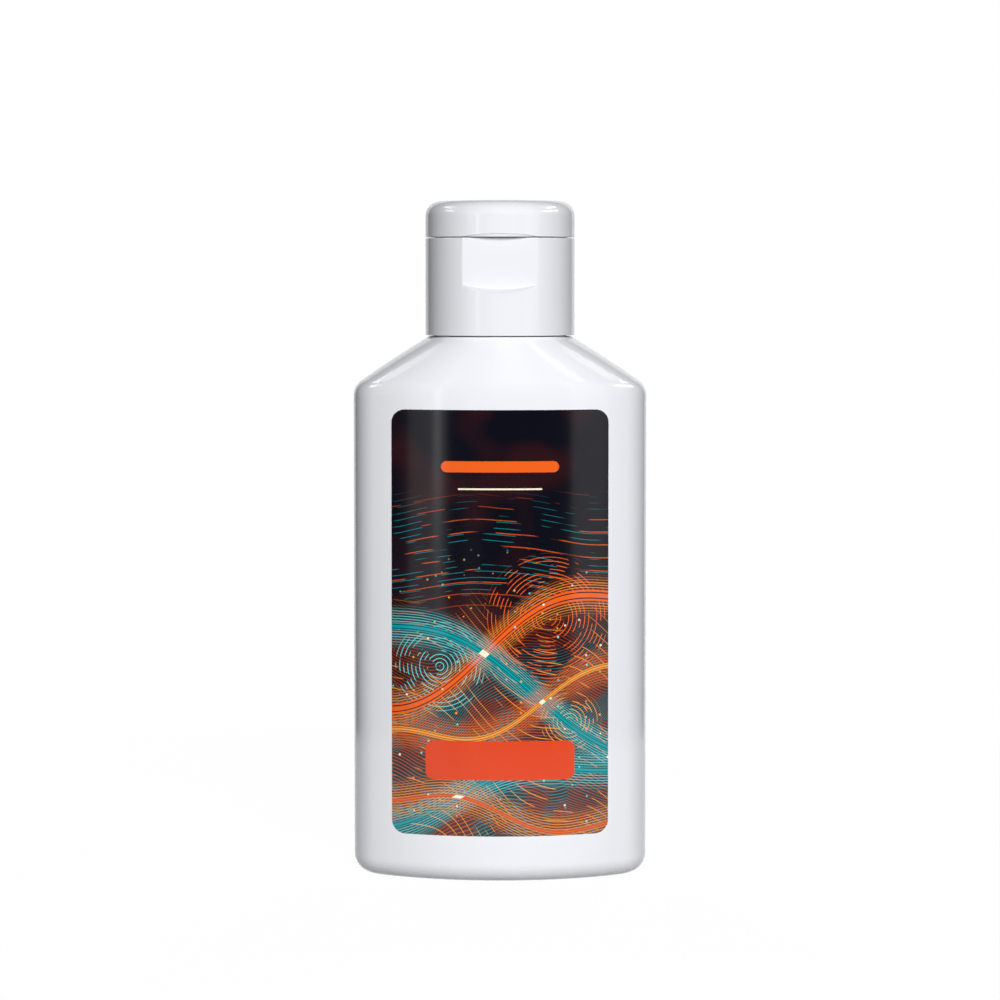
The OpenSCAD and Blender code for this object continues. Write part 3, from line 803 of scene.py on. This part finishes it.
def facings_beside(*edges):
    """Facings round a turned piece, closer together beside these vertical edges."""
    cleared = 1.3
    offsets = (-1.1, -0.6, -0.3, -0.15, 0, 0.15, 0.3, 0.6, 1.1)
    far = np.min([abs(turned_facings - edge) for edge in edges], axis=0) > cleared
    close = [edge + offset for edge in edges for offset in offsets]
    return np.unique(np.round(np.concatenate([turned_facings[far], close]), 4))


thumb_edge = math.degrees(math.asin(thumb_half_w / cap_r))
window_edge = math.degrees(math.asin(window_half_w / cap_r))
closure_facings = facings_beside(-thumb_edge, thumb_edge, 180 - window_edge, window_edge - 180)
closure_turn = np.radians(closure_facings)[:, None]
in_front = np.cos(closure_turn) > 0


def face_reach(face_y, towards_front):
    """Radius at which each column meets an upright flat face this far from the axis."""
    least_cosine = 0.1
    towards = np.cos(closure_turn) if towards_front else -np.cos(closure_turn)
    return face_y / np.maximum(towards, least_cosine)


def flat_depth(face_y, towards_front):
    """How deep a flat face cuts into the closure's round wall, with its upright edges just broken."""
    reach = face_reach(face_y, towards_front)
    blend = np.clip(0.5 + 0.5 * (reach - cap_r) / broken_edge, 0, 1)
    return cap_r - (reach * (1 - blend) + cap_r * blend - broken_edge * blend * (1 - blend))


thumb_depth = np.where(in_front, flat_depth(thumb_face_y, True), 0)
window_depth = np.where(in_front, 0, flat_depth(window_face_y, False))


def thumb_curve(x):
    """Height of the recess's curved lower edge on its flat face."""
    x = np.clip(x, -thumb_half_w, thumb_half_w)
    return thumb_z + thumb_curve_r - np.sqrt(thumb_curve_r ** 2 - x ** 2)


def ledge_heights():
    """Outer and inner height of the ledge that the recess in front and the window behind stand on."""
    front_ends, back_starts = 60, 120
    outer_x = cap_r * np.sin(closure_turn)
    past_face = np.maximum(cap_r * np.cos(closure_turn) - thumb_face_y, 0)
    face_x = np.where(in_front, thumb_face_y * np.tan(closure_turn), thumb_half_w)
    side = (abs(np.degrees(closure_turn)) - front_ends) / (back_starts - front_ends)
    back = eased(np.clip(side, 0, 1))
    outer = thumb_curve(outer_x) - past_face * thumb_slope
    inner = thumb_curve(face_x)
    return outer + (window_z[0] - outer) * back, inner + (window_z[0] - inner) * back


def stepped(low, outer, inner, high, below=14, ledge=14, above=16, straightness=0.65):
    """Heights of a wall's rows that keep close to a ledge, and the share of the cut's depth at each."""
    start = outer - crisp
    stop = inner + crisp
    under = low + (start - low) * np.linspace(0, 1, below)[None, :]
    t = np.linspace(0, 1, ledge)[None, 1:-1]
    over = stop + (high - stop) * np.linspace(0, 1, above)[None, :]
    share = straightness * t + (1 - straightness) * eased(t)
    return (np.concatenate([under, start + (stop - start) * t, over], axis=1),
            np.concatenate([0 * under, share + 0 * start, 1 + 0 * over], axis=1))


def within(half_width, radius, towards_front):
    """1 in the columns behind a flat face of this half width, falling to 0 beside it."""
    x = abs(radius * np.sin(closure_turn))
    return np.clip((half_width - x) / block_fade + 0.5, 0, 1) * (in_front if towards_front else ~in_front)


def closure_points(radius, height):
    """Points of the closure at these radii and heights, one row of them for each facing."""
    return radius * np.sin(closure_turn), -radius * np.cos(closure_turn), height


base_profile = rounded([
    (cap_r, skirt_z, edge_r), (cap_r, seam_z, edge_r),
    (skirt_inner_r, seam_z, 0.1), (skirt_inner_r, deck_top_z, 0.15),
    (collar_r, deck_top_z, 0.15), (collar_r, collar_top_z, 0.12),
    (collar_r - collar_t, collar_top_z, 0.12), (collar_r - collar_t, deck_top_z, 0.3),
    (spout_r, deck_top_z, 0.6), (spout_r, spout_top_z, 0.3),
    (spout_bore_r, spout_top_z, 0.25), (spout_bore_r, deck_z, 0.2),
    (sleeve_r, deck_z, 0.3), (sleeve_r, sleeve_z, 0.2),
    (sleeve_outer_r, sleeve_z, 0.2), (sleeve_outer_r, deck_z, 0.2),
    (skirt_inner_r, deck_z, 0.2), (skirt_inner_r, skirt_z, 0.2),
], closed=True)
foot_rows = fillet_steps(edge_r) + 1
foot_part, inside_part = base_profile[:foot_rows], base_profile[foot_rows:]
ledge_outer, ledge_inner = ledge_heights()
wall_z, cut_share = stepped(skirt_z + edge_r, ledge_outer, ledge_inner, seam_z - edge_r)
cut_depth = np.maximum(thumb_depth, window_depth)
column = np.ones_like(closure_turn)
profile_r, profile_z = inside_part[None, :, 0], inside_part[None, :, 1]
inside_r = profile_r * column
inside_z = profile_z * column
row = np.arange(len(inside_part))[None, :]
behind_thumb = within(front_block["half_width"], block_r, True)
behind_window = within(back_block["half_width"], block_r, False)

# The upper rim follows the flat faces, and the groove inside it ends at the blocks behind them.
is_rim = (profile_r > skirt_middle_r) & (profile_z > deck_top_z)
inside_r = np.where(is_rim, inside_r - cut_depth, inside_r)
is_groove = ((profile_r <= skirt_middle_r) & (profile_r >= collar_r)
             & (profile_z <= seam_z) & (profile_z >= deck_top_z))
rim_inner_r = cap_r - cut_depth - edge_r
inside_r = np.where(is_groove, np.minimum(inside_r, rim_inner_r - row_gap * row), inside_r)
inside_r = np.where(is_groove, np.maximum(inside_r, collar_r), inside_r)
blocked = np.maximum(behind_thumb, behind_window)
inside_z = np.where(is_groove, inside_z + (seam_z - inside_z) * blocked, inside_z)

# The pocket between the sleeve and the skirt is shallower under the same blocks.
under_deck = profile_z < (deck_z + deck_top_z) / 2
is_pocket = under_deck & (profile_r > sleeve_middle_r) & (profile_z > pocket_z)
ceiling = deck_z + (front_block["floor_z"] - deck_z) * behind_thumb
ceiling = ceiling + (back_block["floor_z"] - deck_z) * behind_window
squeeze = (ceiling - pocket_z) / (deck_z - pocket_z)
inside_z = np.where(is_pocket, pocket_z + (inside_z - pocket_z) * squeeze, inside_z)

base_r = np.concatenate([foot_part[None, :, 0] * column, cap_r - cut_depth * cut_share, inside_r], axis=1)
base_z = np.concatenate([foot_part[None, :, 1] * column, wall_z, inside_z], axis=1)
closure_base = skin("closure_base_shell", *closure_points(base_r, base_z), looped=True)

closure_plastic = moulded_plastic("closure_plastic", colour=(0.872, 0.882, 0.925), roughness=0.1,
                                  ripple_size=14, ripple_height=0.012, grain_height=0.0008)
add_thread(closure_base, thread_tree(closure_plastic), {
    "Root radius": sleeve_r * MM, "Height": -thread_height * MM, "Sink": -thread_sink * MM,
    "Root width": sleeve_thread_root_w * MM, "Crest width": sleeve_thread_crest_w * MM,
    "Pitch": thread_pitch * MM, "Turns": thread_turns, "Start height": sleeve_thread_z * MM,
    "Start angle": math.radians(sleeve_thread_turn), "Run-out": thread_run_out * MM})
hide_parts("closure_base")
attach(closure_base, "closure_body")

# Lid. Moulded in one with the closure base: a shallow cap with a rounded top edge, a plug pin
# for the spout and a seat ring round it inside, and a slanted bevel for the thumb in front.
lid_z = 98.69
lid_top_z = corners_of("lid")[1][2]
lid_under_z = 103.06
lid_inner_r = 10.4
lid_middle_r = (lid_inner_r + cap_r) / 2
lid_wall_margin = 0.2
lid_corner_r = 2.3
lid_slope_r = 9.4
lid_slope_h = 1
lid_flat_r = 4
lid_pad_y = 10.1
pin_tip_r = 0.4
pin_r = 1.45
pin_z = 99.35
seat_r = 3.45
seat_outer_r = 4.1
seat_z = 99.15
bevel_h = 0.45
bevel_w = 0.25
bevel_fade_h = 1.4

lid_profile = rounded([
    (pin_tip_r, pin_z, 0), (pin_r, pin_z, 0.3), (pin_r, lid_under_z, 0.2), (seat_r, lid_under_z, 0.2),
    (seat_r, seat_z, 0.12), (seat_outer_r, seat_z, 0.12), (seat_outer_r, lid_under_z, 0.2),
    (lid_slope_r, lid_under_z, 0.15), (lid_inner_r, lid_under_z - lid_slope_h, 0.15),
    (lid_inner_r, lid_z, 0.12), (cap_r - bevel_w, lid_z, 0), (cap_r, lid_z, edge_r),
    (cap_r, lid_top_z, lid_corner_r), (lid_flat_r, lid_top_z, 0)])
corner_start_z = lid_top_z - lid_corner_r
corner_margin = 0.01
split = next(i for i, (radius, height) in enumerate(lid_profile)
             if radius > lid_middle_r and height > corner_start_z - corner_margin)
under_part, top_part = lid_profile[:split], lid_profile[split:]
window_top = np.full_like(closure_turn, window_z[1])
lid_wall_z, kept_share = stepped(lid_z + edge_r, window_top, window_top, corner_start_z, below=20,
                                 ledge=8, above=3)
lid_wall_r = cap_r - window_depth * (1 - kept_share)
profile_r, profile_z = under_part[None, :, 0], under_part[None, :, 1]
under_r = profile_r * column
under_z = profile_z * column
under_r = np.where(profile_r > lid_middle_r, under_r - window_depth, under_r)
is_inner_wall = (abs(profile_r - lid_inner_r) < lid_wall_margin) & (profile_z < corner_start_z)
pad_r = face_reach(lid_pad_y, False)
behind = within(back_block["half_width"], lid_inner_r, False)
under_r = np.where(is_inner_wall, under_r - np.maximum(under_r - pad_r, 0) * behind, under_r)

lid_r = np.concatenate([under_r, lid_wall_r, top_part[None, :, 0] * column], axis=1)
lid_height = np.concatenate([under_z, lid_wall_z, top_part[None, :, 1] * column], axis=1)
past_face = (cap_r * np.cos(closure_turn) - thumb_face_y) / (cap_r - thumb_face_y)
out_from_edge = np.clip((lid_r - cap_r + bevel_w) / (bevel_w - edge_r), 0, 1)
lift = bevel_h * np.clip(past_face, 0, 1) * out_from_edge
fade = np.clip(1 - (lid_height - lid_z) / bevel_fade_h, 0, 1)
lid_height = lid_height + lift * fade
lid = skin("lid_cap", *closure_points(lid_r, lid_height), start=(0, 0, pin_z), end=(0, 0, lid_top_z))
lid.data.materials.append(closure_plastic)
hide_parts("lid")
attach(lid, "lid_body")

# Hinge. Two thin films and a bowed spring strap between them, moulded with the closure across
# its seam at the back. On the real closure they bend as the lid opens, and the strap snaps it open or shut;
# here they keep their shut shape.
strip_columns = 28
strip_squareness = 6


def strip(name, centre_x, width, heights, middle_y, thickness):
    """Thin strip that runs up the closure's back, with its long edges slightly rounded."""
    turn = np.radians(np.linspace(-180, 180, strip_columns, endpoint=False))[:, None]
    across = np.sign(np.sin(turn)) * abs(np.sin(turn)) ** (2 / strip_squareness)
    through = np.sign(np.cos(turn)) * abs(np.cos(turn)) ** (2 / strip_squareness)
    x = centre_x + width / 2 * across + 0 * heights[None, :]
    y = middle_y[None, :] - thickness[None, :] / 2 * through
    z = heights[None, :] + 0 * x
    piece = skin(name, x, y, z, start=(centre_x, middle_y[0], heights[0]),
                 end=(centre_x, middle_y[-1], heights[-1]))
    piece.data.materials.append(closure_plastic)
    return piece


hinge_z = (seam_z + lid_z) / 2
film_rows = 33
film_thinnest = 0.55
film_thin_half = 0.15
film_thin_run = 0.5
for node in ("hinge_film_left", "hinge_film_right"):
    low, high = corners_of(node)
    heights = np.linspace(low[2], high[2], film_rows)
    off_hinge = abs(heights - hinge_z) / (high[2] - hinge_z)
    thickening = np.clip((off_hinge - film_thin_half) / film_thin_run, 0, 1)
    thickness = (high[1] - low[1]) * (film_thinnest + (1 - film_thinnest) * thickening)
    film = strip(node + "_web", (low[0] + high[0]) / 2, high[0] - low[0], heights,
                 low[1] + thickness / 2, thickness)
    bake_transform(film)
    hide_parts(node)

low, high = corners_of("hinge_strap")
strap_rows = 65
strap_t = 0.3
heights = np.linspace(low[2], high[2], strap_rows)
bow = high[1] - low[1] - strap_t
strap_middle = low[1] + strap_t / 2 + bow * (1 - ((heights - hinge_z) / (high[2] - hinge_z)) ** 2)
strap = strip("hinge_spring_strap", 0, high[0] - low[0], heights, strap_middle,
              np.full_like(heights, strap_t))
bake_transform(strap)
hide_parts("hinge_strap")

# Floor and backdrop. A small round table top of matt board stands in front of a white surround.
# The board shows nearly white to the camera and in reflections, and grey to the rest of the light.
# The surround shows white to the camera and in glancing reflections.
floor_r = 190
floor_sides = 96
board_grain = 400
board_tones = (0.24, 0.27)
board_glow = 1.11
glow_share = 0.88
floor_mesh = bpy.data.meshes.new("floor")
rim_turns = np.radians(np.linspace(0, 360, floor_sides, endpoint=False))
floor_mesh.from_pydata([(floor_r * MM * math.cos(t), floor_r * MM * math.sin(t), 0) for t in rim_turns], [],
                       [list(range(floor_sides))])
floor = bpy.data.objects.new("floor", floor_mesh)
scene.collection.objects.link(floor)
floor_material, make, shader = new_material("floor_board")
paths = make("ShaderNodeLightPath").outputs
where = make("ShaderNodeTexCoord").outputs["Object"]
board = make("ShaderNodeTexNoise", {"Vector": where, "Scale": board_grain})
board_tone = make("ShaderNodeMapRange", {"Value": board.outputs["Fac"], "To Min": board_tones[0],
                                         "To Max": board_tones[1]})
floor_material.node_tree.links.new(board_tone.outputs["Result"], shader.inputs["Base Color"])
shader.inputs["Roughness"].default_value = 0.9
shader.inputs["Specular IOR Level"].default_value = 0.0
white = make("ShaderNodeEmission", {"Color": (1, 1, 1, 1), "Strength": board_glow})
seen = make("ShaderNodeMath", {0: paths["Is Camera Ray"], 1: paths["Is Glossy Ray"]}, operation="MAXIMUM")
seen = make("ShaderNodeMath", {0: seen.outputs[0], 1: paths["Is Transmission Ray"]}, operation="MAXIMUM")
share = make("ShaderNodeMath", {0: seen.outputs[0], 1: glow_share}, operation="MULTIPLY")
shown = make("ShaderNodeMixShader", {0: share.outputs[0], 1: shader.outputs[0], 2: white.outputs[0]})
output = floor_material.node_tree.nodes["Material Output"]
floor_material.node_tree.links.new(shown.outputs[0], output.inputs["Surface"])
floor_mesh.materials.append(floor_material)

ambient = 0.03
surround_from, surround_full = 0.79, 0.87
world = bpy.data.worlds.new("studio")
scene.world = world
world.use_nodes = True
make = node_maker(world.node_tree)
paths = make("ShaderNodeLightPath").outputs
direction = make("ShaderNodeSeparateXYZ", {"Vector": make("ShaderNodeTexCoord").outputs["Generated"]})
behind_object = make("ShaderNodeMapRange", {"Value": direction.outputs["Y"], "From Min": surround_from,
                                            "From Max": surround_full, "To Min": ambient, "To Max": 1.0})
glossy_level = make("ShaderNodeMix", {"Factor": paths["Is Glossy Ray"], 2: ambient,
                                      3: behind_object.outputs["Result"]}).outputs[0]
seen = make("ShaderNodeMath", {0: paths["Is Camera Ray"], 1: paths["Is Transmission Ray"]},
            operation="MAXIMUM").outputs[0]
level = make("ShaderNodeMix", {"Factor": seen, 2: glossy_level, 3: 1.0}).outputs[0]
background = world.node_tree.nodes["Background"]
world.node_tree.links.new(level, background.inputs["Strength"])
background.inputs["Color"].default_value = (1, 1, 1, 1)


# Lights. A broad soft lamp in front and two behind give plain light. Panels beside the camera give
# the long reflections on label and closure, and small cards give those on shoulder, lid and edges.
def lamp(name, azimuth, elevation, distance, size, power, glossy=False, diffuse=True, colour=(1, 1, 1)):
    """Rectangular lamp aimed at the object, placed by its azimuth to the right of the camera, in metres."""
    aim = (0, 0, 0.06)
    data = bpy.data.lights.new(name, "AREA")
    data.shape = "RECTANGLE"
    data.size, data.size_y = size
    data.energy = power
    data.color = colour
    made = bpy.data.objects.new(name, data)
    a, e = math.radians(azimuth), math.radians(elevation)
    back = np.array((math.sin(a) * math.cos(e), -math.cos(a) * math.cos(e), math.sin(e)))
    made.location = np.array(aim) + distance * back
    made.rotation_euler = (math.pi / 2 - e, 0, a)
    made.visible_glossy = glossy
    made.visible_diffuse = diffuse
    made.visible_camera = False
    scene.collection.objects.link(made)


lamp("front_lamp", azimuth=8, elevation=20, distance=0.95, size=(0.4, 0.4), power=9.65)
for name, azimuth in (("rear_left_lamp", -158), ("rear_right_lamp", 158)):
    lamp(name, azimuth, elevation=14, distance=1.2, size=(0.4, 0.5), power=7.2)


def panel(name, azimuths, elevations, level, colour=(1, 1, 1)):
    """Panel that shows only in reflections, between these directions and with this brightness."""
    distance = 0.7
    width = 2 * distance * math.tan(math.radians((azimuths[1] - azimuths[0]) / 2))
    height = 2 * distance * math.tan(math.radians((elevations[1] - elevations[0]) / 2))
    lamp(name, sum(azimuths) / 2, sum(elevations) / 2, distance, (width, height),
         power=level * math.pi * width * height, glossy=True, diffuse=False, colour=colour)


cool_white = (0.92, 0.96, 1)
warm_white = (1, 0.96, 0.9)
panel("left_panel", (-51, -29), (-12, 30), 0.58)
panel("left_streak", (-36.2, -32.3), (-5, 12), 1.5)
panel("right_panel", (39, 62), (-12, 30), 0.75)
panel("low_panel", (-19.6, -10.5), (-14, -6.5), 0.45)
panel("left_shoulder_card", (-118, -94), (45.6, 49.8), 2.4, colour=cool_white)
panel("left_lid_card", (-119, -99), (38.5, 45.2), 6, colour=cool_white)
panel("left_edge_card", (-99, -80), (24, 32), 6, colour=cool_white)
panel("right_shoulder_card", (93, 118), (46.4, 50), 2.4, colour=warm_white)
panel("right_lid_card", (97, 119), (38.5, 45.2), 6.5, colour=warm_white)
panel("right_edge_card", (74, 108), (24, 32), 6, colour=warm_white)
panel("right_soft_card", (42, 58), (35, 40), 2, colour=cool_white)
